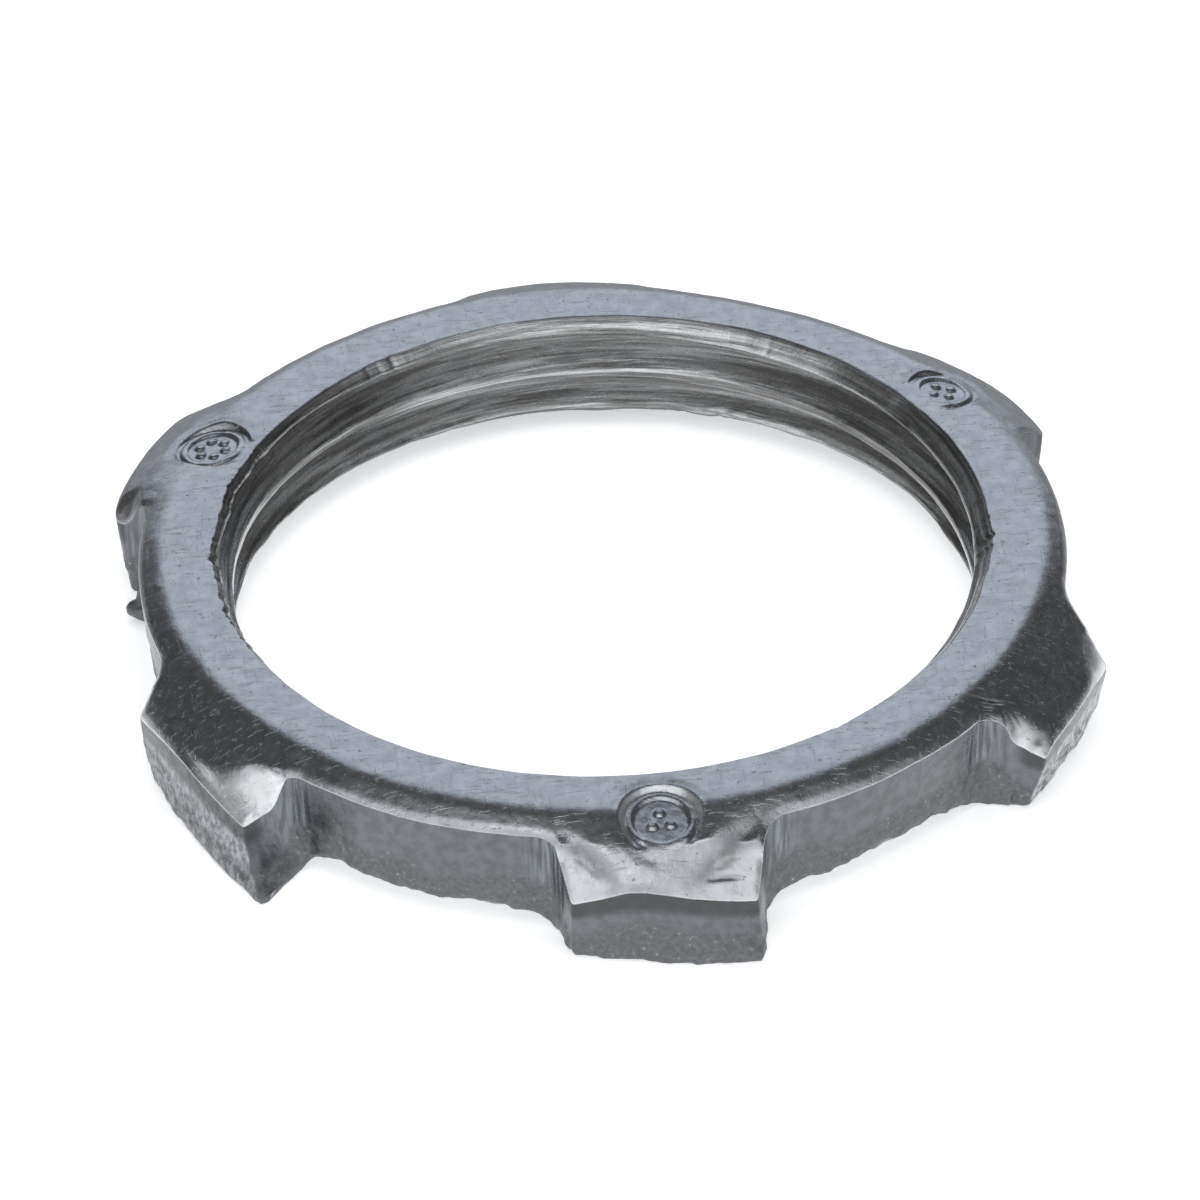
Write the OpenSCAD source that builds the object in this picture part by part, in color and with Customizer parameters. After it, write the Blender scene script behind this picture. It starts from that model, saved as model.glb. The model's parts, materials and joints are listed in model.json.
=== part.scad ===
// Conduit locknut, 1 inch trade size: a one-piece stamped ring with six lugs
// and an internal straight pipe thread. The bore axis is +Z and the lug feet
// stand on z = 0, so the origin is on the axis in the plane of the feet.

/* [Bore] */
// Minor diameter of the internal thread
thread_minor_d = 30.2; // [29.8:0.1:30.6]
// Width of the 45 degree lead-in at each end of the bore
lead_in = 0.7; // [0.3:0.1:1.0]

/* [Ring] */
// Outside diameter of the ring between the lugs
ring_d = 37.8; // [37:0.1:39]
// Height of the ring from its underside to its flat top
ring_h = 4.6; // [4:0.1:5.5]
// Diameter at which the flat top starts to roll over
crown_d = 34; // [33.6:0.1:34.2]
// Radius of the rolled-over shoulder
crown_r = 2.6; // [2.2:0.1:2.6]

/* [Lugs] */
// Number of lugs around the ring
lug_count = 6; // [4:1:8]
// Distance from the axis to the outer face of a lug
lug_reach = 20.6; // [20.2:0.1:21.4]
// Width of a lug at its outer face
lug_tip_w = 7.2; // [6:0.1:8]
// Angle by which each flank of a lug leans in towards its tip
lug_draft = 12; // [4:1:20]
// Radius of the fillet between a flank and the ring
lug_fillet_r = 1.2; // [0.6:0.1:1.6]
// Fall of the top of a lug below the horizontal
lug_slope = 42; // [36:1:46]
// Height of the ring's underside above the lug feet
lug_drop = 0.9; // [0.4:0.1:1]
// Extra fall at the two top corners of a lug
corner_drop = 0.6; // [0.4:0.1:1]
// Length of each corner facet along the lug's outer edge
corner_run = 2; // [1:0.1:3]

/* [Stamped pads] */
// Number of lugs that carry a round stamped pad
pad_count = 3; // [0, 2, 3, 6]
// Diameter of a stamped pad
pad_d = 3.3; // [2.4:0.1:3.6]
// Distance from the axis to the middle of a pad
pad_reach = 17.9; // [17.4:0.1:18.2]
// Depth of a pad below the surface around it
pad_depth = 0.3; // [0.2:0.05:0.4]
// Height of the plain button in the middle of a pad
button_h = 0.15; // [0:0.05:0.2]

/* [Hidden] */

$fn = 96;
clear = 1; // how far a cutting shape runs past the surface that it cuts
bite = 0.02; // how far a fillet sinks into the ring, so that their outlines cross
fillet_steps = 6; // straight steps round a fillet
bore_r = thread_minor_d / 2;
ring_r = ring_d / 2;
top_z = lug_drop + ring_h;

// The shoulder's arc ends where the straight fall of the lugs begins
crown_centre = [crown_d / 2, top_z - crown_r];
slope_start = crown_centre + crown_r * [sin(lug_slope), cos(lug_slope)];
profile_r = norm([lug_reach, lug_tip_w / 2]) + clear;
function slope_z(r) = slope_start.y - (r - slope_start.x) * tan(lug_slope);

// The underside of a lug falls at 45 degrees from just outside the ring to a flat foot
instep_r = ring_r + 0.1;
foot_r = instep_r + lug_drop;

// A flank runs inwards from the lug's corner; its fillet circle touches both the flank and the ring
lug_corner = [lug_reach, lug_tip_w / 2];
flank_in = [-cos(lug_draft), sin(lug_draft)];
flank_out = [sin(lug_draft), cos(lug_draft)];
fillet_reach = ring_r + lug_fillet_r - bite;
fillet_start = lug_corner + lug_fillet_r * flank_out;
fillet_along = fillet_start * flank_in;
fillet_gap = fillet_start * fillet_start - pow(fillet_reach, 2);
fillet_run = -fillet_along - sqrt(pow(fillet_along, 2) - fillet_gap);
fillet_centre = fillet_start + fillet_run * flank_in;
fillet_from = 90 - lug_draft;
fillet_to = atan2(fillet_centre.y, fillet_centre.x);
fillet = [
    for (i = [0 : fillet_steps])
        fillet_centre - lug_fillet_r * heading(fillet_from + (fillet_to - fillet_from) * i / fillet_steps)
];

// A corner facet runs from the outer edge, through the dropped corner, to the middle of the fillet
fillet_middle = fillet[fillet_steps / 2];
facet_from = [lug_corner.x, lug_corner.y - corner_run, slope_z(lug_reach)];
facet_corner = [lug_corner.x, lug_corner.y, slope_z(lug_reach) - corner_drop];
facet_to = [fillet_middle.x, fillet_middle.y, slope_z(norm(fillet_middle))];
facet_up = unit(cross(facet_corner - facet_from, facet_to - facet_from));

// A pad is pressed square to the shoulder under its middle
pad_lean = asin((pad_reach - crown_centre.x) / crown_r);
pad_z = crown_centre.y + crown_r * cos(pad_lean);
button_d = pad_d / 3;

function unit(v) = v / norm(v);
function heading(a) = [cos(a), sin(a)];
function mirrored(p) = [p.x, -p.y];
function turned(p, a) = [p.x * cos(a) - p.y * sin(a), p.x * sin(a) + p.y * cos(a)];

// Half section of the ring and lugs, from the thread's minor radius outwards
module section() {
    polygon([
        [bore_r, lug_drop + lead_in],
        [bore_r + lead_in, lug_drop],
        [instep_r, lug_drop],
        [foot_r, 0],
        [profile_r, 0],
        [profile_r, slope_z(profile_r)],
        slope_start,
        crown_centre,
        [crown_centre.x, top_z],
        [bore_r + lead_in, top_z],
        [bore_r, top_z - lead_in],
    ]);
    intersection() {
        translate(crown_centre) circle(crown_r);
        translate(crown_centre)
            polygon([[0, 0], [0, 2 * crown_r], 2 * crown_r * [sin(lug_slope), cos(lug_slope)]]);
    }
}

// The ring and its lugs seen from above, the first lug on -Y
module outline() {
    half_lug = concat([lug_corner], fillet);
    lug = concat([for (i = [fillet_steps + 1 : -1 : 0]) mirrored(half_lug[i])], half_lug);
    circle(ring_r);
    polygon([for (i = [0 : lug_count - 1]) for (p = lug) turned(p, i * 360 / lug_count - 90)]);
}

// Places its children at evenly spaced lugs, the first of them on -Y
module at_lugs(count) {
    for (i = [0 : 1 : count - 1])
        rotate(i * 360 / count - 90) children();
}

// Its children and their mirror image across a lug's middle
module both_sides() {
    children();
    mirror([0, 1, 0]) children();
}

// Everything above the sloping facet at one top corner of a lug
module corner_facet() {
    intersection() {
        linear_extrude(top_z) polygon([[0, 0], 2 * lug_corner.x * [1, 0], 2 * fillet_middle]);
        translate(facet_corner)
            rotate([0, acos(facet_up.z), atan2(facet_up.y, facet_up.x)])
                translate([-lug_tip_w, -lug_tip_w, 0]) cube([2 * lug_tip_w, 2 * lug_tip_w, lug_tip_w]);
    }
}

// The space that the die presses into one lug root: a round pad around a low button
module pad_recess() {
    translate([pad_reach, 0, pad_z])
        rotate([0, pad_lean, 0])
            difference() {
                translate([0, 0, -pad_depth]) cylinder(h = pad_depth + clear, d = pad_d);
                translate([0, 0, -pad_depth]) cylinder(h = button_h, d = button_d);
            }
}

module locknut() {
    color("lightslategray")
        difference() {
            intersection() {
                rotate_extrude() section();
                linear_extrude(top_z) outline();
            }
            at_lugs(lug_count) both_sides() corner_facet();
            at_lugs(pad_count) pad_recess();
        }
}

locknut();
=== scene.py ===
"""The looks of a stamped, zinc plated conduit locknut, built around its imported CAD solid.

One closed mesh replaces the CAD node. Its columns go round the bore axis, and each column
is a closed loop of four stretches: top, outer wall, underside and bore. The nut's lengths are
in millimetres until its mesh is made, and the studio's are in metres. Angles round the axis
are in degrees, anticlockwise seen from above. On a lug, u runs outwards from the axis through
the lug's middle, and v runs anticlockwise across it.
"""

import json
import math

import bpy
import numpy as np
from mathutils import Matrix, Vector


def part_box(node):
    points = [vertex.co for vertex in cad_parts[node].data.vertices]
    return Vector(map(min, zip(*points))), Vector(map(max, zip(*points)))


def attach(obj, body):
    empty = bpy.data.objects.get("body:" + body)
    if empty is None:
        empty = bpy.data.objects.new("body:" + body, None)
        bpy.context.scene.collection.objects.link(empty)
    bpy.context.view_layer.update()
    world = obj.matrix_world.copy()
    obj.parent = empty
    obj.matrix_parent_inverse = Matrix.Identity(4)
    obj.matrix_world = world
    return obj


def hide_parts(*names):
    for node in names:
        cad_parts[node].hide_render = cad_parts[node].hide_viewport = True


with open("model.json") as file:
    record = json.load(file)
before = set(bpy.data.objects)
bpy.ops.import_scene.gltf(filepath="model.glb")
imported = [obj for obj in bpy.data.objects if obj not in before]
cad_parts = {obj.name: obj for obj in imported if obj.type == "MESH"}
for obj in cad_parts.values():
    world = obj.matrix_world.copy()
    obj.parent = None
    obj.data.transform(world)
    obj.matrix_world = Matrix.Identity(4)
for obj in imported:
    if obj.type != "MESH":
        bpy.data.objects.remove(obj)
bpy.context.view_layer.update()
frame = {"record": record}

MM = 0.001

# ---------------------------------------------------------------- sizes from the frame
HIGH = np.array(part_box("locknut")[1]) / MM
THREAD = next(m for m in frame["record"]["mounts"] if m["name"] == "thread")
MINOR_R = THREAD["dims"]["r_mm"]
TOP_Z = HIGH[2]
LUG_REACH = HIGH[1]

# ---------------------------------------------------------------- the ring
RING_R = 18.9
RING_H = 4.6
UNDER_Z = TOP_Z - RING_H
TOP_EDGE_R = MINOR_R + 0.7
UNDER_EDGE_R = MINOR_R + 0.5
FLOOR_GAP = 0.01

# the top bends over in two stages: from radius, to radius, slope gained
BENDS = [(17.6, 18.3, 0.63), (19.15, 19.6, 0.25)]
BEND_SOFT = 0.1
# the bends start sooner in places: angle, half width, how much sooner
BEND_SOONER = [(60, 26, 0.42)]
# the die drags the metal down along every cut edge
ROLL_WIDTH, ROLL_DROP = 0.26, 0.12

# ---------------------------------------------------------------- the thread
PITCH = 25.4 / 11.5
CREST_HALF = 0.2
THREAD_DEPTH = 1.25
FLANK_RISE = math.tan(math.radians(60))
# at the back of the bore, a crest's middle line passes this angle at this height
BEHIND = 84.5
CREST_Z_BEHIND = TOP_Z - 2.5

# ---------------------------------------------------------------- the lugs
FIRST_LUG = -90.0
LUG_WIDTH = 7.2
LUG_FROM_U = 12
# how many degrees the flanks stand from a lug's middle, about
FLANK_OFF = 11.5
TIP_BULGE = 0.22
ROOT_BLEND = 0.75
# how steep the step at the end of a facet is
STEP_SLOPE = 2.5

FACET = dict(drop=0.45, across=0.25, along=0.95, twist=0.0, length=1.9, soft=0.1)


def lug(half=(10, 10), reach=(20.7, 20.7), root=(12.4, 12.4), foot=(0.3, 0.3), lean=(0.5, 0.5),
        flare=(0, 0), fall=1.0, tip=1.0, corner=0.12, shine=0.0, burnish_and_highlight=1.0,
        facets=(FACET, FACET), creases=()):
    """One lug, its clockwise side first.

    half and root are angles from its middle to its corners and roots, reach is the corners' radius.
    foot is the height of its lower corners, lean how far they stand inwards of the upper ones, and
    flare how far they stand out sideways. fall and tip are its top's shares of the two bends, corner
    how rounded its corners are, shine how bright its torn tip is, as a painted highlight, and burnish
    how bright its facets are, partly burnished zinc and partly painted highlight.
    A facet is a top corner pressed down by drop: it rises across the lug and along its flank at the
    given slopes, more with twist, and ends in a steep step at length; soft is the width over which
    it meets the slope. A crease runs from one u, v to another, with a half width and a depth.
    """
    return dict(half=half, reach=reach, root=root, foot=foot, lean=lean, flare=flare,
                fall=fall, tip=tip, corner=corner, shine=shine, burnish_and_highlight=burnish_and_highlight,
                facets=facets, creases=creases)


def facet(**changes):
    return {**FACET, **changes}


# the front lug first, then on anticlockwise
LUGS = [
    lug(half=(9.8, 10.3), reach=(20.6, 21.0), root=(12.1, 13.6), foot=(0.1, 0.0),
        lean=(0.3, -0.78), flare=(0.0, 0.15), burnish_and_highlight=0.45, fall=0.84, tip=1.45,
        facets=(facet(drop=0.62, across=0.36, length=1.4), facet(drop=0.57, across=0.26, length=1.3)),
        creases=((18.6, -3.6, 20.15, -1.9, 0.26, 0.15), (18.6, 4.1, 20.4, 1.15, 0.34, 0.17),
                 (20.1, 3.2, 20.2, 1.9, 0.07, 0.1))),
    lug(half=(9.6, 8.6), reach=(21.0, 21.0), root=(12.8, 13.0), foot=(0.0, 0.2),
        lean=(0.8, 0.5), shine=0.9,
        facets=(facet(drop=0.33, across=0.6, along=0.6, twist=0.2, length=1.3, soft=0.16),
                facet(drop=0.36, across=0.3, length=1.2)),
        creases=((18.0, -3.9, 18.8, -3.2, 0.09, 0.09), (18.15, -4.2, 18.6, -3.8, 0.07, 0.07),
                 (19.3, -4.0, 19.4, -3.4, 0.22, 0.28), (20.1, -3.6, 20.5, -2.9, 0.12, 0.08))),
    lug(half=(9.4, 9.2), reach=(20.8, 20.7), root=(12.0, 11.6), foot=(0.2, 0.4),
        fall=0.8, tip=0.8, corner=0.9, burnish_and_highlight=0.2,
        facets=(facet(drop=0.3, soft=0.3), facet(drop=0.4, soft=0.3))),
    lug(half=(8.8, 9.2), reach=(21.1, 21.1), root=(11.6, 12.4), foot=(0.1, 0.3),
        fall=0.75, tip=0.75, corner=0.9, burnish_and_highlight=0.2,
        facets=(facet(drop=0.35, soft=0.3), facet(drop=0.35, soft=0.3))),
    lug(half=(10.0, 11.4), reach=(21.35, 20.7), foot=(0.35, 0.05), fall=0.7, tip=0.7, corner=0.6,
        burnish_and_highlight=0.1, facets=(facet(drop=0.25, soft=0.3),
                             facet(drop=0.65, across=0.8, along=0.3, length=0.9, soft=0.3))),
    lug(half=(11.2, 10.6), reach=(20.5, 20.8), root=(14.0, 12.8), foot=(0.0, 0.0),
        lean=(0.4, -0.5), flare=(0.0, 1.7), shine=0.45,
        facets=(facet(drop=0.2, across=0.2, length=1.0),
                facet(drop=0.48, across=0.2, along=0.35, twist=0.6, length=1.35))),
]

# the ring is a little out of round: angle, half width, how far it stands in
RING_TRIMS = [(52, 24, 0.25), (42, 7, 0.12), (4, 14, 0.1)]
# and its underside sags or rises in places: angle, half width, how far down
UNDER_SAGS = [(88, 34, 0.13), (-134.5, 3.2, -0.32), (-103.5, 3, -0.25)]
# its lower edge stands inwards of its upper edge, most of all beside the first lug
RING_LEAN = 0.3
RING_LEANS = [(-58, 17, 0.25), (178, 14, 0.15)]

# the radii at which the noise along the bore's edges is read
EDGE_NOISE_R, CHIP_NOISE_R = 15, 17
# (angle, half width, depth) of the ragged stretches along the bore's two edges
TOP_CHIPS = [(-176, 14, 0.16), (-205, 6, 0.12), (-8, 7, 0.12), (60, 3, 0.08), (120, 4, 0.1),
             (-60, 2.5, 0.06)]
UNDER_CHIPS = [(-175, 9, 0.16), (-22, 8, 0.18), (70, 9, 0.06), (110, 6, 0.06)]
# (angle, half width, distance) that the bore's lower edge stands out
UNDER_TRIMS = [(-178, 7, 0.2), (160, 8, 0.1), (-8, 6, 0.3), (14, 7, -0.2)]

# three lugs carry a round stamped pad with a raised rim round a ring of plain raised pips:
# distance from the axis, degrees from the lug's middle, radius, depth at its outer side, pips, the
# radius of their ring, and the light painted on its wall: a painted highlight where positive, painted
# shade where negative
PAD_LEAN = 0.2
PAD_WALL_SLOPE = 1.5
PAD_RIM_RISE = 0.12
PAD_DRAWN_IN = 0.07
PIP_R, PIP_RISE = 0.19, 0.12
PADS = {
    0: dict(reach=18.1, off=0.9, radius=1.66, sunk=0.1, pips=3, ring=0.42, wall_light_and_shade=1.0),
    2: dict(reach=17.4, off=-0.5, radius=1.5, sunk=0.22, pips=4, ring=0.45, wall_light_and_shade=-0.8),
    4: dict(reach=17.6, off=0.0, radius=1.6, sunk=0.28, pips=6, ring=0.58, wall_light_and_shade=-0.8),
}

# a bead of zinc hangs on the ring's wall at the end of a thin run: angle, size, heights
BEAD_AT, BEAD_R, BEAD_OUT, BEAD_Z = 167.3, 0.54, 1.2, 0.62
RUN_HALF, RUN_OUT, RUN_TOP = 0.2, 0.8, 3.0

# ---------------------------------------------------------------- the mesh
# what the mesh tells its material about each point
# several marks carry painted light: highlights on facets, pad walls and tips, and shade in creases, on
# pad walls, along rolled edges and in thread grooves
MARKS = ("shine", "pressed", "painted_shade", "lip_shade", "root", "wall", "torn", "bore", "groove")
COLUMNS = 1440
TOP_ROWS, WALL_ROWS, UNDER_ROWS, BORE_ROWS = 74, 26, 10, 42
# the radius inside which the top's first rows lie, and how far inside the outline its last ones lie
SHELF_R = TOP_EDGE_R + 0.45
EDGE_GAPS = np.array([0.0, 0.025, 0.06, 0.11, 0.17, 0.25, 0.35])
# where rows lie on their way out to the shelf, down the wall and in along the underside
LIP_STEPS = np.array([0.04, 0.2, 0.6])[:, None]
WALL_MIDDLE = np.linspace(0.08, 0.94, WALL_ROWS - 4)
WALL_STEPS = np.concatenate([[0.012, 0.035], WALL_MIDDLE, [0.975, 0.993]])[:, None]
UNDER_STEPS = np.concatenate([[0.015, 0.045, 0.09], np.linspace(0.15, 1, UNDER_ROWS - 3)])[:, None]


# ================================================================ small maths
def smooth_min(a, b, width):
    h = np.clip(0.5 + 0.5 * (b - a) / width, 0, 1)
    return b * (1 - h) + a * h - width * h * (1 - h)


def smooth_max(a, b, width):
    return -smooth_min(-a, -b, width)


def ramp(x, start, end):
    t = np.clip((x - start) / (end - start), 0, 1)
    return t * t * (3 - 2 * t)


def hump(x, half):
    """A rounded bump, 1 at 0 and small beyond half."""
    return np.exp(-((x / half) ** 2))


def turn_from(middle, degrees):
    """The angle from middle to degrees, between -180 and 180."""
    return (degrees - middle + 180) % 360 - 180


def polar(r, degrees):
    a = np.radians(degrees)
    return np.array([r * np.cos(a), r * np.sin(a)])


def lattice(cell, seed):
    """A repeatable number from -1 to 1 for each integer cell."""
    n = cell[0] * 374761393 + cell[1] * 668265263 + cell[2] * 1440670441 + seed * 974634777
    n = ((n & 0xFFFFFFFF) ^ ((n & 0xFFFFFFFF) >> 13)) * 1274126177
    n = (n & 0xFFFFFFFF) ^ ((n & 0xFFFFFFFF) >> 16)
    return (n & 0xFFFF) / 32767.5 - 1


def noise(x, y, z, size, seed):
    """Smooth noise from -1 to 1 with features of about the given size."""
    p = np.stack(np.broadcast_arrays(x, y, z)) / size
    cell = np.floor(p).astype(np.int64)
    f = p - cell
    f = f * f * (3 - 2 * f)
    total = np.zeros(p.shape[1:])
    for corner in np.ndindex(2, 2, 2):
        step = np.array(corner).reshape((3,) + (1,) * (p.ndim - 1))
        weight = np.prod(np.where(step == 1, f, 1 - f), axis=0)
        total += weight * lattice(cell + step, seed)
    return total


def fractal(x, y, z, size, seed, octaves=3):
    return sum(noise(x, y, z, size / 2 ** k, seed + k) / 2 ** k for k in range(octaves))


# ================================================================ the plan
def lug_frames():
    for i, spec in enumerate(LUGS):
        yield i, spec, FIRST_LUG + 360 / len(LUGS) * i


def to_lug(x, y, centre):
    a = math.radians(centre)
    return x * math.cos(a) + y * math.sin(a), y * math.cos(a) - x * math.sin(a)


def outside(x, y, start, end, bulge=0.0):
    """Signed distance to the right of the line from start to end, less a shallow bulge."""
    run = end - start
    length = np.linalg.norm(run)
    run = run / length
    along = ((x - start[0]) * run[0] + (y - start[1]) * run[1]) / length
    off = (x - start[0]) * run[1] - (y - start[1]) * run[0]
    return off - bulge * np.clip(4 * along * (1 - along), 0, 1)


def bumps(phi, places):
    """A sum of rounded bumps round the axis: (angle, half width, height)."""
    a = np.degrees(phi)
    return sum(height * hump(turn_from(angle, a), half) for angle, half, height in places)


def lug_corners(spec):
    corners = [polar(spec["reach"][0], -spec["half"][0]), polar(spec["reach"][1], spec["half"][1])]
    roots = [polar(RING_R, -spec["root"][0]), polar(RING_R, spec["root"][1])]
    return corners, roots


def plan(x, y):
    """Signed distance from the nut's outline seen from above, negative inside."""
    d = np.hypot(x, y) - RING_R - 0.05 * noise(x, y, 0 * x, 5.0, 11)
    d = d + bumps(np.arctan2(y, x), RING_TRIMS)
    for _, spec, centre in lug_frames():
        u, v = to_lug(x, y, centre)
        corners, roots = lug_corners(spec)
        tip = outside(u, v, corners[0], corners[1], bulge=TIP_BULGE)
        sides = [outside(u, v, roots[0], corners[0]), outside(u, v, corners[1], roots[1])]
        body = smooth_max(tip, np.maximum(sides[0], sides[1]), spec["corner"])
        body = np.maximum(body, LUG_FROM_U - u)
        d = smooth_min(d, body, ROOT_BLEND)
    return d


def outline_radius(phi):
    """Where the ray at each angle leaves the outline, by bisection."""
    low = np.full_like(phi, RING_R - 1.5)
    high = np.full_like(phi, LUG_REACH + 2)
    for _ in range(30):
        middle = (low + high) / 2
        inside = plan(middle * np.cos(phi), middle * np.sin(phi)) < 0
        low, high = np.where(inside, middle, low), np.where(inside, high, middle)
    return (low + high) / 2


def columns():
    """Angles round the axis, closer together on the lugs' flanks, the stamped pads and the bead."""
    a = np.linspace(0, 360, 7201)
    weight = np.ones_like(a)
    for i, _, centre in lug_frames():
        off = np.abs(turn_from(centre, a))
        weight += 2.4 * hump(off - FLANK_OFF, 3.2)
        weight += 0.8 * np.exp(-((off / 7) ** 4)) * (i in PADS)
    weight += 3.0 * hump(turn_from(BEAD_AT, a), 2.0)
    share = np.concatenate([[0], np.cumsum((weight[1:] + weight[:-1]) / 2)])
    return np.radians(np.interp(np.arange(COLUMNS) / COLUMNS * share[-1], share, a))


# ================================================================ the top
def bend(x):
    """The integral of a smooth ramp that starts to climb at 0."""
    root = np.sqrt(x ** 2 + BEND_SOFT ** 2)
    return (x * root + BEND_SOFT ** 2 * np.arcsinh(x / BEND_SOFT) + x ** 2) / 4


def crown(r, fall=1.0, tip=1.0):
    """The drop at a radius, with fall as the share of the first bend and tip of the second."""
    first, second = (slope / (end - start) * (bend(r - start) - bend(r - end))
                     for start, end, slope in BENDS)
    return first * fall + second * tip


def plain_drop(x, y):
    """How far the top lies below its highest place, before the corners are pressed."""
    sooner = bumps(np.arctan2(y, x), BEND_SOONER)
    return crown(np.hypot(x, y) + sooner, lug_share(x, y, "fall"), lug_share(x, y, "tip"))


def lug_share(x, y, key):
    """A lug's fall, tip or burnish at each place, and 1 well away from the lugs."""
    a = np.degrees(np.arctan2(y, x))
    share = np.ones_like(a)
    for _, spec, centre in lug_frames():
        off = turn_from(centre, a)
        share -= (1 - spec[key]) * np.exp(-((off / 13.0) ** 4))
    return share


def lug_basis(spec, side):
    """A lug's corner, and the ways from it along the tip and along the flank."""
    corners, roots = lug_corners(spec)
    ways = [corners[1 - side] - corners[side], roots[side] - corners[side]]
    return corners[side], np.column_stack([way / np.linalg.norm(way) for way in ways])


def press_facets(x, y, z):
    for _, spec, centre in lug_frames():
        u, v = to_lug(x, y, centre)
        near = (u > 17) & (np.abs(v) < 8)
        for side in (0, 1):
            f = spec["facets"][side]
            corner, ways = lug_basis(spec, side)
            turn = np.linalg.inv(ways)
            across = np.clip(turn[0, 0] * (u - corner[0]) + turn[0, 1] * (v - corner[1]), 0, None)
            along = turn[1, 0] * (u - corner[0]) + turn[1, 1] * (v - corner[1])
            beyond = smooth_max(along - f["length"], 0, 0.1 + f["soft"])
            low = TOP_Z - crown(np.linalg.norm(corner), spec["fall"], spec["tip"]) - f["drop"]
            plane = low + f["across"] * across + f["along"] * along + STEP_SLOPE * beyond
            plane = plane + f["twist"] * across * np.clip(along, 0, f["length"])
            z = np.where(near, smooth_min(z, plane, f["soft"]), z)
    return z


def press_creases(x, y, z):
    """The surface with the lugs' creases in it, and how deep in a crease each place is, which sets the
    painted shade there.
    """
    painted_shade = np.zeros_like(z)
    for _, spec, centre in lug_frames():
        u, v = to_lug(x, y, centre)
        for u0, v0, u1, v1, half, depth in spec["creases"]:
            run = np.array([u1 - u0, v1 - v0])
            along = np.clip(((u - u0) * run[0] + (v - v0) * run[1]) / (run @ run), 0, 1)
            off = np.hypot(u - u0 - along * run[0], v - v0 - along * run[1])
            ends = 0.35 + 0.65 * np.sin(np.pi * np.clip(along, 0.03, 0.97))
            within = ends * hump(off, half)
            z = z - depth * within
            painted_shade = np.maximum(painted_shade, within)
    return z, painted_shade


def press_pads(x, y, surface):
    """The surface with the round pads pressed into it, and the light painted on their walls: a painted
    highlight where positive, painted shade where negative.
    """
    painted_wall_light = np.zeros_like(surface)
    for i, spec, centre in lug_frames():
        if i not in PADS:
            continue
        reach, off, pad_r, sunk, count, ring_r, wall_light_and_shade = PADS[i].values()
        u, v = to_lug(x, y, centre + off)
        u = u - reach
        rho = np.hypot(u, v)
        outer = TOP_Z - crown(reach + pad_r - 0.4, spec["fall"], spec["tip"]) - sunk
        seat = outer + PAD_LEAN * (pad_r - u) + 0.012 * fractal(x, y, 0 * x, 0.4, 61)
        rim = PAD_RIM_RISE * ramp(rho, pad_r - 0.6, pad_r - 0.5) * ramp(-rho, 0.22 - pad_r, 0.32 - pad_r)
        pips = 0 * u
        for k in range(count):
            turn = 2 * math.pi * k / count
            place = ring_r * np.array([-math.cos(turn), math.sin(turn)])
            pips += PIP_RISE * ramp(-np.hypot(u - place[0], v - place[1]), -PIP_R - 0.05, -PIP_R + 0.05)
        wall = surface - PAD_WALL_SLOPE * np.clip(pad_r - rho, 0, None)
        bottom = np.minimum(surface, seat + rim + pips)
        around = surface - PAD_DRAWN_IN * ramp(-rho, -pad_r - 0.5, -pad_r)
        # painted light on a pad's wall: a painted highlight where positive, painted shade where negative
        painted_wall_light = np.where(rho < pad_r, wall_light_and_shade * ramp(wall - bottom, 0.0, 0.05), painted_wall_light)
        surface = np.where(rho < pad_r, np.maximum(bottom, wall) - PAD_DRAWN_IN, around)
    return surface, painted_wall_light


def top_height(x, y):
    """Height of the top, 1 where the die has pressed it, partly burnished zinc and partly painted
    highlight, also on the bright pad walls, and 1 for painted shade in the creases and on the dark pad
    walls.
    """
    r = np.hypot(x, y)
    inside = -plan(x, y)
    plain = TOP_Z - plain_drop(x, y)
    z = press_facets(x, y, plain)
    # the pressed facets' brightness: partly burnished zinc, partly painted highlight
    pressed = ramp(plain - z, 0.06, 0.3) * lug_share(x, y, "burnish_and_highlight")
    z, painted_shade = press_creases(x, y, z)
    z = z - ROLL_DROP * np.clip(1 - inside / ROLL_WIDTH, 0, 1) ** 2
    slope = ramp(r, 17.5, 18.6)
    z = z + (0.010 + 0.024 * slope) * fractal(x, y, 0 * x, 2.6, 21)
    z = z + (0.002 + 0.007 * slope) * fractal(x, y, 0 * x, 0.5, 31)
    z, painted_pad_light = press_pads(x, y, z)
    # second value: facet brightness, partly burnished zinc and partly painted highlight, plus the bright
    # pad walls; third value: painted shade in creases and on the dark pad walls
    return z, np.maximum(pressed, painted_pad_light), np.maximum(painted_shade, -painted_pad_light)


def chips(phi, places, seed):
    """Ragged bites out of an edge near the given angles: (angle, half width, depth)."""
    a = np.degrees(phi)
    x, y = CHIP_NOISE_R * np.cos(phi), CHIP_NOISE_R * np.sin(phi)
    rough = np.clip(0.6 + 0.9 * fractal(x, y, 0 * x, 0.5, seed, octaves=4), 0, None) ** 1.5
    bite = 0 * phi
    for angle, width, depth in places:
        bite += depth * hump(turn_from(angle, a), width) * (0.2 + rough)
    return bite


# ================================================================ the wall, the underside and the bore
def across_lug(pair, v):
    """A lug's value at v, from the one for its clockwise side to the one for its other side."""
    side = np.clip(0.5 + v / LUG_WIDTH, 0, 1)
    return pair[0] * (1 - side) + pair[1] * side


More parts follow.
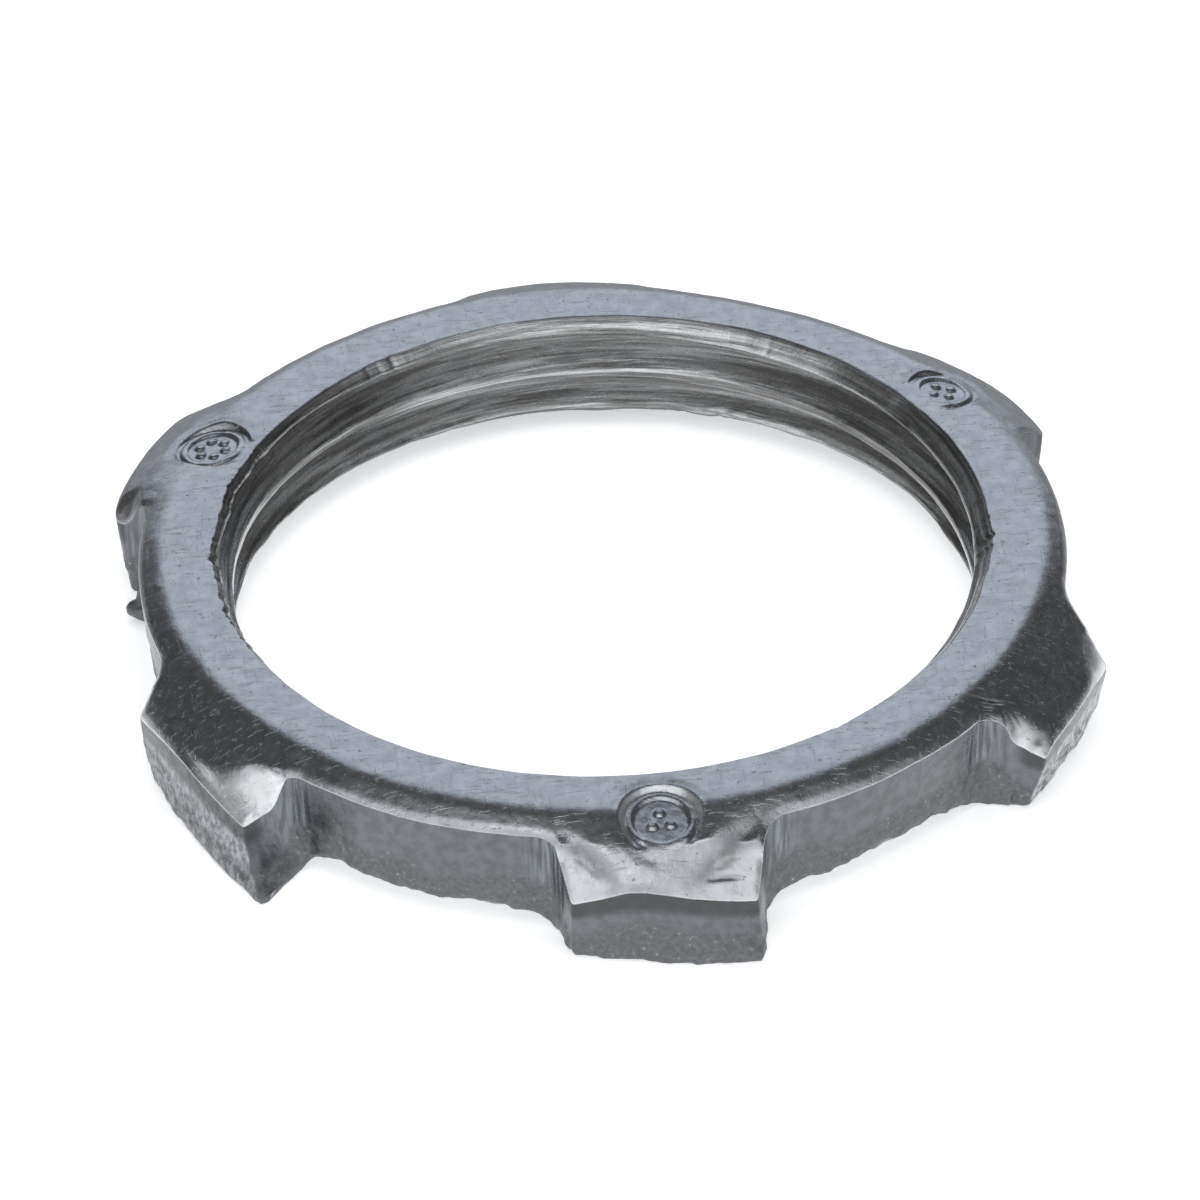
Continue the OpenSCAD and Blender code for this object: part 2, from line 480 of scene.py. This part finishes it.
def under_height(x, y):
    r = np.hypot(x, y)
    z = UNDER_Z - bumps(np.arctan2(y, x), UNDER_SAGS)
    for _, spec, centre in lug_frames():
        u, v = to_lug(x, y, centre)
        on_lug = ramp(LUG_WIDTH - np.abs(v), 0, 0.9) * ramp(u, 17.8, 18.8)
        z = z + (across_lug(spec["foot"], v) - UNDER_Z) * on_lug
    inside = -plan(x, y)
    burr = hump(inside, 0.2) * (0.03 + 0.17 * fractal(x, y, 0 * x, 1.4, 43))
    z = z - burr + 0.05 * fractal(x, y, 0 * x, 1.8, 41) * ramp(r, 16, 17)
    return np.maximum(z, FLOOR_GAP)


def foot_shift(x, y):
    """How far the foot of the wall stands from its top edge: the wall leans in, and lugs flare."""
    r, phi = np.hypot(x, y), np.arctan2(y, x)
    inward = (RING_LEAN + bumps(phi, RING_LEANS)) * ramp(-r, -19.9, -19.2)
    x_shift, y_shift = -inward * np.cos(phi), -inward * np.sin(phi)
    for _, spec, centre in lug_frames():
        u, v = to_lug(x, y, centre)
        lean = across_lug(spec["lean"], v) * ramp(u, 19.2, 20.2)
        flare = np.where(v > 0, spec["flare"][1], -spec["flare"][0])
        flare = flare * ramp(np.abs(v), 0.6, 3.7) * np.clip((u - 17.9) / 2.2, 0, 1) ** 1.1
        a = math.radians(centre)
        x_shift += -lean * math.cos(a) - flare * math.sin(a)
        y_shift += -lean * math.sin(a) + flare * math.cos(a)
    return x_shift, y_shift


def tip_shine(x, y, nx, ny):
    """The painted highlight on the wall at each place: only some lugs' tips get it, where they face
    outwards.
    """
    shine = 0 * x
    for _, spec, centre in lug_frames():
        u, v = to_lug(x, y, centre)
        outwards, _ = to_lug(nx, ny, centre)
        on_tip = ramp(u, 19.4, 20.1) * ramp(-np.abs(v), -5, -4)
        # painted highlight on the outward faces of the tips
        shine += spec["shine"] * on_tip * ramp(outwards, 0.75, 0.93)
    return shine


def root_closeness(phi):
    """1 at the roots of the lugs and 0 well away from them."""
    a = np.degrees(phi)
    near = 0 * phi
    for _, spec, centre in lug_frames():
        off = turn_from(centre, a)
        near += hump(off + spec["root"][0] + 1, 2.2) + hump(off - spec["root"][1] - 1, 2.2)
    return np.clip(near, 0, 1)


def bead(phi, z):
    """How far the bead of zinc and the thin run above it stand out of the wall."""
    arc = RING_R * np.radians(turn_from(BEAD_AT, np.degrees(phi)))
    away = np.hypot(arc, z - BEAD_Z) / BEAD_R
    run = RUN_OUT * hump(arc, RUN_HALF) * ramp(z, 0.0, 0.6) * ramp(-z, -RUN_TOP, -BEAD_Z)
    return np.maximum(BEAD_OUT * np.clip(1 - away ** 2, 0, 1) ** 0.4, run)


def helix_phase(phi, z):
    """Height above the nearest crest's middle line, for a right-handed thread."""
    lead = CREST_Z_BEHIND + PITCH * (np.degrees(phi) - BEHIND) / 360
    return (z - lead + PITCH / 2) % PITCH - PITCH / 2


def thread_cut(phi, z):
    """How far outside the minor radius the thread's surface lies."""
    off = np.abs(helix_phase(phi, z))
    flank = FLANK_RISE * (off - CREST_HALF)
    return smooth_min(smooth_max(flank, 0, 0.1), THREAD_DEPTH, 0.12)


def bore_rows(phi, low, high):
    """Heights of the bore's rows in each column, closer together at its ends and the crests' edges."""
    steps = 240
    t = np.linspace(0, 1, steps)[:, None]
    z = low + (high - low) * t
    off = np.abs(helix_phase(phi, z))
    weight = 1 + 2.2 * hump(off - CREST_HALF, 0.12)
    weight += 2.0 * hump(t, 0.05) + 2.0 * hump(1 - t, 0.05)
    share = np.cumsum(weight, axis=0)
    share = (share - share[0]) / (share[-1] - share[0])
    wanted = np.linspace(0, 1, BORE_ROWS + 2)[1:-1]
    return np.stack([np.interp(wanted, share[:, j], z[:, j]) for j in range(len(phi))], axis=1)


# ================================================================ the four stretches
def edge_noise(phi, size, seed):
    """Smooth noise along the bore's edges."""
    x, y = EDGE_NOISE_R * np.cos(phi), EDGE_NOISE_R * np.sin(phi)
    return noise(x, y, 0 * phi, size, seed)


def top_stretch(phi, inner, out_r):
    """The top, from the bore's edge to the outline."""
    rim_r = out_r - EDGE_GAPS[-1] - 0.08
    main = np.linspace(0, 1, TOP_ROWS - len(EDGE_GAPS) - len(LIP_STEPS) - 1)[:, None]
    r_lip = inner + (SHELF_R - 0.07 - inner) * LIP_STEPS
    r_main = SHELF_R + (rim_r - SHELF_R) * main
    r = np.vstack([inner[None], r_lip, r_main, out_r - EDGE_GAPS[::-1, None]])
    x, y = r * np.cos(phi), r * np.sin(phi)
    z, pressed, painted_shade = top_height(x, y)
    return (x, y, z), {"pressed": pressed, "painted_shade": painted_shade}


def outward(x, y):
    """The direction square to the outline, in which the wall is pushed in and out."""
    step = 0.02
    nx = plan(x + step, y) - plan(x - step, y)
    ny = plan(x, y + step) - plan(x, y - step)
    length = np.hypot(nx, ny)
    return nx / length, ny / length


def wall_stretch(phi, x_out, y_out, z_out, at_bead):
    """The outer wall, from the rolled top edge down to the burr: drawn smooth above, torn below."""
    flat = 0 * phi
    t = WALL_STEPS
    nx, ny = outward(x_out, y_out)
    under_edge = np.maximum(under_height(x_out, y_out) - at_bead, FLOOR_GAP)
    z = z_out + (under_edge - z_out) * t
    tear = 0.45 + 0.16 * noise(x_out, y_out, flat, 4.0, 51) + 0.1 * noise(x_out, y_out, flat, 1.1, 52)
    torn = ramp(t, tear - 0.05, tear + 0.12)
    at_root = root_closeness(phi)
    drawn = noise(x_out, y_out, z * 0.06, 0.2, 53) * (0.004 + 0.035 * at_root)
    drawn = drawn + noise(x_out, y_out, z * 0.1, 0.7, 54) * (0.015 + 0.02 * at_root)
    rough = fractal(x_out, y_out, z, 0.8, 55) * 0.06 + 0.05 * noise(x_out, y_out, z, 0.26, 56)
    push = (1 - torn) * drawn * ramp(t, 0.02, 0.12) + torn * rough * ramp(t, 0.0, 0.3)
    push = push - 0.1 * ramp(t, 0.93, 1.0) + bead(phi, z)
    x_foot, y_foot = foot_shift(x_out, y_out)
    x = x_out + nx * push + x_foot * t ** 1.3
    y = y_out + ny * push + y_foot * t ** 1.3
    # painted shade along the rolled upper edge of the lugs' tips
    lip_shade = ramp(np.hypot(x_out, y_out), 20.0, 20.3) * ramp(-t, -0.34, -0.2)
    # the painted highlight on some lugs' tips
    shine = tip_shine(x_out, y_out, nx, ny)
    return (x, y, z), {"wall": 1, "torn": torn, "root": at_root, "lip_shade": lip_shade, "shine": shine}


def under_stretch(phi, x_edge, y_edge, under_in, at_bead):
    """The underside, from the burr to the bore."""
    x = x_edge + (under_in * np.cos(phi) - x_edge) * UNDER_STEPS
    y = y_edge + (under_in * np.sin(phi) - y_edge) * UNDER_STEPS
    z = under_height(x, y) - at_bead * ramp(-UNDER_STEPS, -0.14, 0.0)
    z = np.maximum(z, FLOOR_GAP)
    z[-1] += 0.06 * edge_noise(phi, 1.4, 75)
    return (x, y, z), {"torn": 1}


def bore_stretch(phi, inner, z_inner, under_in, z_under):
    """The bore, from the underside back up to the top, with the thread in it."""
    c, s = np.cos(phi), np.sin(phi)
    z = bore_rows(phi, z_under, z_inner)
    above, below = z_inner - z, z - z_under
    fade = ramp(above, 0.0, 0.75) * ramp(below, 0.0, 0.6)
    r = MINOR_R + thread_cut(phi, z) * fade
    r = smooth_max(r, inner - above, 0.06)
    r = smooth_max(r, under_in - below, 0.06)
    lines = noise(r * c * 0.25, r * s * 0.25, helix_phase(phi, z) * 3.2, 0.35, 81)
    dents = fractal(r * c, r * s, z * 2, 0.9, 82)
    r = r + (0.026 * lines + 0.010 * dents) * ramp(above, 0.02, 0.2) * ramp(below, 0.02, 0.2)
    # the groove depth sets the painted shade in the thread's grooves
    return (r * c, r * s, z), {"bore": 1, "groove": (r - MINOR_R) / THREAD_DEPTH}


# ================================================================ the mesh
def build_loops():
    """The places of all the loops' points, and each mark at every point."""
    phi = columns()
    inner = TOP_EDGE_R + 0.03 * edge_noise(phi, 1.2, 72) + chips(phi, TOP_CHIPS, 71)
    under_in = UNDER_EDGE_R + 0.05 * edge_noise(phi, 1.5, 73) + chips(phi, UNDER_CHIPS, 74)
    under_in = under_in + bumps(phi, UNDER_TRIMS)
    at_bead = ramp(bead(phi, BEAD_Z + 0 * phi), 0.0, 0.6)

    top, top_marks = top_stretch(phi, inner, outline_radius(phi))
    wall, wall_marks = wall_stretch(phi, *(axis[-1] for axis in top), at_bead)
    low, low_marks = under_stretch(phi, wall[0][-1], wall[1][-1], under_in, at_bead)
    bore, bore_marks = bore_stretch(phi, inner, top[2][0], under_in, low[2][-1])

    stretches = (top, top_marks), (wall, wall_marks), (low, low_marks), (bore, bore_marks)
    x, y, z = (np.vstack(rows) for rows in zip(top, wall, low, bore))
    marks = {key: np.vstack([found.get(key, 0) + 0 * place[2] for place, found in stretches])
             for key in MARKS}
    return x, y, z, marks


def make_mesh(name):
    x, y, z, marks = build_loops()
    rows, cols = x.shape
    verts = np.stack([x, y, z], axis=-1).reshape(-1, 3) * MM
    i, j = np.meshgrid(np.arange(rows), np.arange(cols), indexing="ij")
    up, on = (i + 1) % rows, (j + 1) % cols
    faces = np.stack([i * cols + j, up * cols + j, up * cols + on, i * cols + on], axis=-1)
    faces = faces.reshape(-1, 4)
    mesh = bpy.data.meshes.new(name)
    mesh.vertices.add(len(verts))
    mesh.vertices.foreach_set("co", verts.ravel())
    mesh.loops.add(faces.size)
    mesh.loops.foreach_set("vertex_index", faces.ravel().astype(np.int32))
    mesh.polygons.add(len(faces))
    mesh.polygons.foreach_set("loop_start", np.arange(0, faces.size, 4, dtype=np.int32))
    mesh.polygons.foreach_set("use_smooth", np.ones(len(faces), bool))
    mesh.update(calc_edges=True)
    mesh.validate()
    for key, values in marks.items():
        layer = mesh.attributes.new(key, "FLOAT", "POINT")
        layer.data.foreach_set("value", values.ravel().astype(np.float32))
    return mesh


# ================================================================ the zinc plate
# bright zinc for the pressed facets and the bore's streaks, partly burnished and partly a painted
# highlight
BURNISH_AND_HIGHLIGHT = (0.90, 0.91, 0.92, 1)


class Nodes:
    """A short way to write a node tree."""

    def __init__(self, name):
        self.material = bpy.data.materials.new(name)
        self.material.use_nodes = True
        self.tree = self.material.node_tree
        self.tree.nodes.clear()

    @classmethod
    def of(cls, tree):
        nodes = cls.__new__(cls)
        nodes.tree = tree
        tree.nodes.clear()
        return nodes

    def add(self, kind, settings=(), **inputs):
        node = self.tree.nodes.new(kind)
        for key, value in dict(settings).items():
            setattr(node, key, value)
        for key, value in inputs.items():
            self.put(node, key, value)
        return node

    def put(self, node, key, value):
        """Link or set an input, named by its label or by i and its number."""
        by_number = key[0] == "i" and key[1:].isdigit()
        socket = node.inputs[int(key[1:]) if by_number else key.replace("_", " ")]
        if isinstance(value, bpy.types.NodeSocket):
            self.tree.links.new(value, socket)
        else:
            socket.default_value = value

    def math(self, operation, a, b=0.0, c=0.0, clamp=False):
        settings = {"operation": operation, "use_clamp": clamp}
        return self.add("ShaderNodeMath", settings, i0=a, i1=b, i2=c).outputs[0]

    def times(self, a, b):
        return self.math("MULTIPLY", a, b)

    def axes(self, kind):
        coords = self.add("ShaderNodeTexCoord").outputs[kind]
        return self.add("ShaderNodeSeparateXYZ", Vector=coords).outputs

    def attribute(self, name):
        return self.add("ShaderNodeAttribute", {"attribute_name": name}).outputs["Fac"]

    def place(self, scale, rotation=(0, 0, 0)):
        coords = self.add("ShaderNodeTexCoord").outputs["Object"]
        node = self.add("ShaderNodeMapping", Vector=coords, Scale=scale, Rotation=rotation)
        return node.outputs[0]

    def noise(self, scale, rotation=(0, 0, 0), detail=3.0, rough=0.55):
        where = self.place([k / MM for k in scale], rotation)
        node = self.add("ShaderNodeTexNoise", Vector=where, Scale=1.0, Detail=detail, Roughness=rough)
        return node.outputs[0]

    def ramp(self, value, low, high):
        """From 0 at low to 1 at high, whichever is the greater."""
        node = self.add("ShaderNodeMapRange", {"interpolation_type": "SMOOTHSTEP"}, Value=value,
                        From_Min=min(low, high), From_Max=max(low, high),
                        To_Min=float(low > high), To_Max=float(low < high))
        return node.outputs[0]

    def mix(self, share, a, b):
        """Colour a where share is 0 and colour b where it is 1."""
        return self.add("ShaderNodeMix", {"data_type": "RGBA"}, i0=share, i6=a, i7=b).outputs[2]


def relief_of(n, wall, torn, bore, root):
    """Fine height: scratches and pits on top, drawn lines and torn grain on the walls, tool lines."""
    on_top = n.math("SUBTRACT", n.math("SUBTRACT", 1.0, wall), bore, clamp=True)
    clean = n.math("SUBTRACT", wall, torn, clamp=True)
    layers = [
        (n.noise((5, 5, 5), detail=4), 0.45),
        (n.times(n.noise((2.2, 2.2, 2.2), detail=5, rough=0.65), on_top), 1.5),
        (n.times(scratches(n), on_top), -0.5),
        (n.times(pits(n), on_top), -0.9),
        (n.times(n.noise((7, 7, 0.25), detail=3), n.times(clean, n.math("ADD", root, 0.12))), 3.0),
        (n.times(n.noise((4, 4, 4), detail=5, rough=0.7), clean), 1.8),
        (n.times(n.noise((6, 6, 6), detail=6, rough=0.75), torn), 3.6),
        (n.times(n.noise((0.13, 0.13, 9), detail=4, rough=0.7), bore), 3.6),
        (n.times(n.noise((5, 5, 7), detail=4, rough=0.7), bore), 1.0),
    ]
    height = 0.0
    for layer, strength in layers:
        height = n.math("MULTIPLY_ADD", layer, strength, height)
    return n.add("ShaderNodeBump", Height=height, Strength=0.6, Distance=0.02 * MM).outputs[0]


def scratches(n):
    one = n.ramp(n.noise((0.9, 11, 3), rotation=(0, 0, 0.5), detail=2), 0.63, 0.70)
    other = n.ramp(n.noise((10, 0.8, 3), rotation=(0, 0, 0.3), detail=2), 0.64, 0.71)
    return n.math("MAXIMUM", one, other)


def pits(n):
    return n.ramp(n.noise((4.2, 4.2, 4.2), detail=3, rough=0.7), 0.64, 0.73)


def top_colour(n, pressed, painted_shade):
    """Pale grey zinc, brighter where it is pressed, partly burnished zinc and partly painted highlight,
    with painted shade in creases and on the dark pad walls, and dark in pits.
    """
    cloud = n.noise((1.6, 1.6, 1.6), detail=5, rough=0.6)
    colour = n.mix(n.ramp(cloud, 0.35, 0.68), (0.49, 0.50, 0.52, 1), (0.60, 0.61, 0.63, 1))
    # pressed facets brightened: partly burnished zinc, partly painted highlight
    colour = n.mix(n.times(pressed, n.ramp(cloud, 0.25, 0.5)), colour, BURNISH_AND_HIGHLIGHT)
    # painted shade: a dark colour in the creases and on the pad walls that face away
    creased = n.times(n.times(painted_shade, n.ramp(cloud, 0.25, 0.55)), 0.75)
    colour = n.mix(creased, colour, (0.13, 0.13, 0.135, 1))
    return n.mix(n.times(pits(n), 0.6), colour, (0.17, 0.17, 0.17, 1))


def wall_colour(n, torn, root, lip_shade, shine):
    """Dull metal, darker than the top, partly its duller cut surface and partly painted shade: lined at
    the lugs' roots, with bright grains where it is torn, a painted highlight on some lugs' tips and
    painted shade along their rolled upper edge.
    """
    drawn = n.ramp(n.noise((6, 6, 0.3), detail=3), 0.35, 0.65)
    lines = n.mix(drawn, (0.09, 0.095, 0.10, 1), (0.25, 0.27, 0.30, 1))
    mottle = n.ramp(n.noise((2, 2, 2), detail=5), 0.35, 0.65)
    # the wall's dull cut metal, darkened partly as painted shade
    cut = n.mix(mottle, (0.13, 0.135, 0.145, 1), (0.17, 0.175, 0.19, 1))
    cut = n.mix(n.times(root, 0.8), cut, lines)
    grain = n.noise((5, 5, 5), detail=6, rough=0.75)
    broken = n.mix(n.ramp(grain, 0.35, 0.62), (0.12, 0.122, 0.13, 1), (0.17, 0.175, 0.185, 1))
    broken = n.mix(n.ramp(grain, 0.61, 0.69), broken, (0.50, 0.50, 0.50, 1))
    cut = n.mix(torn, cut, broken)
    # painted highlight on the outward faces of some lugs' tips
    painted_tip_highlight = n.times(n.ramp(n.noise((3.2, 3.2, 2.2), detail=6, rough=0.75), 0.42, 0.60), shine)
    cut = n.mix(painted_tip_highlight, cut, (0.60, 0.62, 0.65, 1))
    # painted shade: the rolled upper edge at the lugs' tips painted near black
    return n.mix(n.times(lip_shade, 0.75), cut, (0.05, 0.05, 0.05, 1))


def in_the_bore(n, colour, bore, groove):
    """The given colour with a brownish stain, bright turned streaks, partly tool lines and partly
    painted highlight, and painted shade in the grooves of the bore.
    """
    stain = n.ramp(n.noise((0.7, 0.7, 2.5), detail=5), 0.40, 0.62)
    colour = n.mix(n.times(n.times(bore, stain), 0.6), colour, (0.42, 0.39, 0.36, 1))
    streak = n.ramp(n.noise((0.13, 0.13, 6), detail=4, rough=0.65), 0.40, 0.62)
    # turned streaks: tool lines, bright partly as a painted highlight
    turned = n.mix(streak, (0.20, 0.20, 0.195, 1), BURNISH_AND_HIGHLIGHT)
    colour = n.mix(n.times(bore, 0.75), colour, turned)
    # painted shade deep in the thread's grooves
    return n.mix(n.times(n.ramp(groove, 0.2, 0.7), 0.5), colour, (0.18, 0.175, 0.17, 1))


def zinc_plate():
    """Zinc plated steel that follows the mesh's marks."""
    n = Nodes("zinc_plate")
    shine, pressed, painted_shade, lip_shade, root, wall, torn, bore, groove = (n.attribute(mark) for mark in MARKS)
    rough = n.math("MULTIPLY_ADD", n.noise((3, 3, 3), detail=4), 0.14, 0.21)
    rough = n.math("MULTIPLY_ADD", torn, 0.14, rough)
    rough = n.math("MULTIPLY_ADD", pressed, 0.14, rough)
    colour = top_colour(n, pressed, painted_shade)
    colour = n.mix(n.times(wall, 0.97), colour, wall_colour(n, torn, root, lip_shade, shine))
    colour = in_the_bore(n, colour, bore, groove)
    relief = relief_of(n, wall, torn, bore, root)
    shader = n.add("ShaderNodeBsdfPrincipled", Base_Color=colour, Roughness=rough, Normal=relief)
    shader.inputs["Metallic"].default_value = 1.0
    n.add("ShaderNodeOutputMaterial", Surface=shader.outputs[0])
    return n.material


# ================================================================ the studio
VIEW_TURN = FIRST_LUG - 5.5
DAYLIGHT = (0.96, 0.98, 1.0)


def toward(angle, elevation):
    """A direction from the nut: angle 0 is towards the camera, and positive is to its right."""
    a, e = math.radians(VIEW_TURN + angle), math.radians(elevation)
    return Vector((math.cos(a) * math.cos(e), math.sin(a) * math.cos(e), math.sin(e)))


def nearness(n, x, y):
    """How far a point lies from the axis towards the camera."""
    ahead = toward(0, 0)
    return n.math("ADD", n.times(x, ahead.x), n.times(y, ahead.y))


def softbox(name, angle, elevation, distance, width, height, radiance, colour, mirrored=True):
    """A rectangular light aimed at the nut, which shows in mirrored rays or not."""
    data = bpy.data.lights.new(name, "AREA")
    data.shape = "RECTANGLE"
    data.size, data.size_y = width, height
    data.energy = radiance * math.pi * width * height
    data.color = colour
    light = bpy.data.objects.new(name, data)
    bpy.context.collection.objects.link(light)
    light.location = toward(angle, elevation) * distance
    light.rotation_euler = toward(angle, elevation).to_track_quat("Z", "Y").to_euler()
    light.visible_glossy = mirrored


def sky():
    """A room bright in front of the nut, less so behind it, and dark at its sides and overhead."""
    world = bpy.data.worlds.new("studio")
    world.use_nodes = True
    n = Nodes.of(world.node_tree)
    x, y, z = n.axes("Generated")
    across = n.math("SQRT", n.math("SUBTRACT", 1.0, n.times(z, z), clamp=True))
    facing = n.math("DIVIDE", nearness(n, x, y), n.math("MAXIMUM", across, 0.02))
    front = n.times(n.ramp(facing, 0.15, 0.70), n.ramp(z, 0.955, 0.90))
    behind = n.times(n.ramp(facing, -0.82, -0.91), n.ramp(z, 0.99, 0.72))
    colour = n.mix(front, (0.075, 0.075, 0.075, 1), (0.80, 0.82, 0.84, 1))
    low = n.ramp(z, 0.20, -0.02)
    colour = n.mix(behind, colour, n.mix(low, (0.68, 0.735, 0.82, 1), (0.30, 0.31, 0.33, 1)))
    shader = n.add("ShaderNodeBackground", Color=colour)
    n.add("ShaderNodeOutputWorld", Surface=shader.outputs[0])
    bpy.context.scene.world = world


def studio():
    softbox("key", angle=-6, elevation=54, distance=0.7, width=0.50, height=0.26,
            radiance=0.55, colour=DAYLIGHT)
    softbox("low_card", angle=-58, elevation=30, distance=0.7, width=0.22, height=0.2,
            radiance=0.45, colour=DAYLIGHT)
    softbox("overhead", angle=0, elevation=88, distance=1.2, width=1.2, height=1.2,
            radiance=1.9, colour=(1, 1, 1), mirrored=False)
    sky()


def pale_floor():
    """A floor lit a little from within, which looks darker in mirrored rays behind the nut."""
    size = 3.0
    mesh = bpy.data.meshes.new("floor")
    corners = [(-size, -size, 0), (size, -size, 0), (size, size, 0), (-size, size, 0)]
    mesh.from_pydata(corners, [], [(0, 1, 2, 3)])
    floor = bpy.data.objects.new("floor", mesh)
    bpy.context.collection.objects.link(floor)
    n = Nodes("pale_floor")
    shader = n.add("ShaderNodeBsdfPrincipled", Base_Color=(0.93, 0.93, 0.93, 1), Roughness=0.9)
    shader.inputs["Specular IOR Level"].default_value = 0.1
    shader.inputs["Emission Color"].default_value = (1, 1, 1, 1)
    shader.inputs["Emission Strength"].default_value = 0.45
    shade = n.add("ShaderNodeEmission", Color=(0.32, 0.33, 0.34, 1))
    x, y, _ = n.axes("Object")
    mirrored = n.add("ShaderNodeLightPath").outputs["Is Glossy Ray"]
    share = n.times(mirrored, n.ramp(nearness(n, x, y), -0.002, -0.018))
    both = n.add("ShaderNodeMixShader", i0=share, i1=shader.outputs[0], i2=shade.outputs[0])
    n.add("ShaderNodeOutputMaterial", Surface=both.outputs[0])
    mesh.materials.append(n.material)


def camera():
    """A long lens above the front lug, a little to its left, aimed just below the middle of the top."""
    distance, elevation, roll = 0.348, 36.3, math.radians(-1.35)
    aim_up, aim_right = -0.42, -0.017
    data = bpy.data.cameras.new("camera")
    data.sensor_width = 36
    data.lens = 257
    data.clip_start, data.clip_end = 0.01, 20
    cam = bpy.data.objects.new("camera", data)
    bpy.context.collection.objects.link(cam)
    back = toward(0, elevation)
    place = Vector((0, 0, TOP_Z * MM)) + back * distance
    right = Vector((-back.y, back.x, 0)).normalized()
    up = back.cross(right)
    rolled_right = math.cos(roll) * right + math.sin(roll) * up
    rolled_up = math.cos(roll) * up - math.sin(roll) * right
    look = -back + rolled_up * math.radians(aim_up) + rolled_right * math.radians(aim_right)
    back = -look.normalized()
    right = rolled_up.cross(back).normalized()
    up = back.cross(right)
    turn = Matrix((right, up, back)).transposed().to_4x4()
    cam.matrix_world = Matrix.Translation(place) @ turn
    bpy.context.scene.camera = cam


# ================================================================ putting it together
def locknut():
    piece = bpy.data.objects.new("zinc_plated_locknut", make_mesh("zinc_plated_locknut"))
    bpy.context.collection.objects.link(piece)
    piece.data.materials.append(zinc_plate())
    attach(piece, "root")
    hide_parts("locknut")


locknut()
pale_floor()
studio()
camera()
bpy.context.scene.view_settings.view_transform = "Standard"
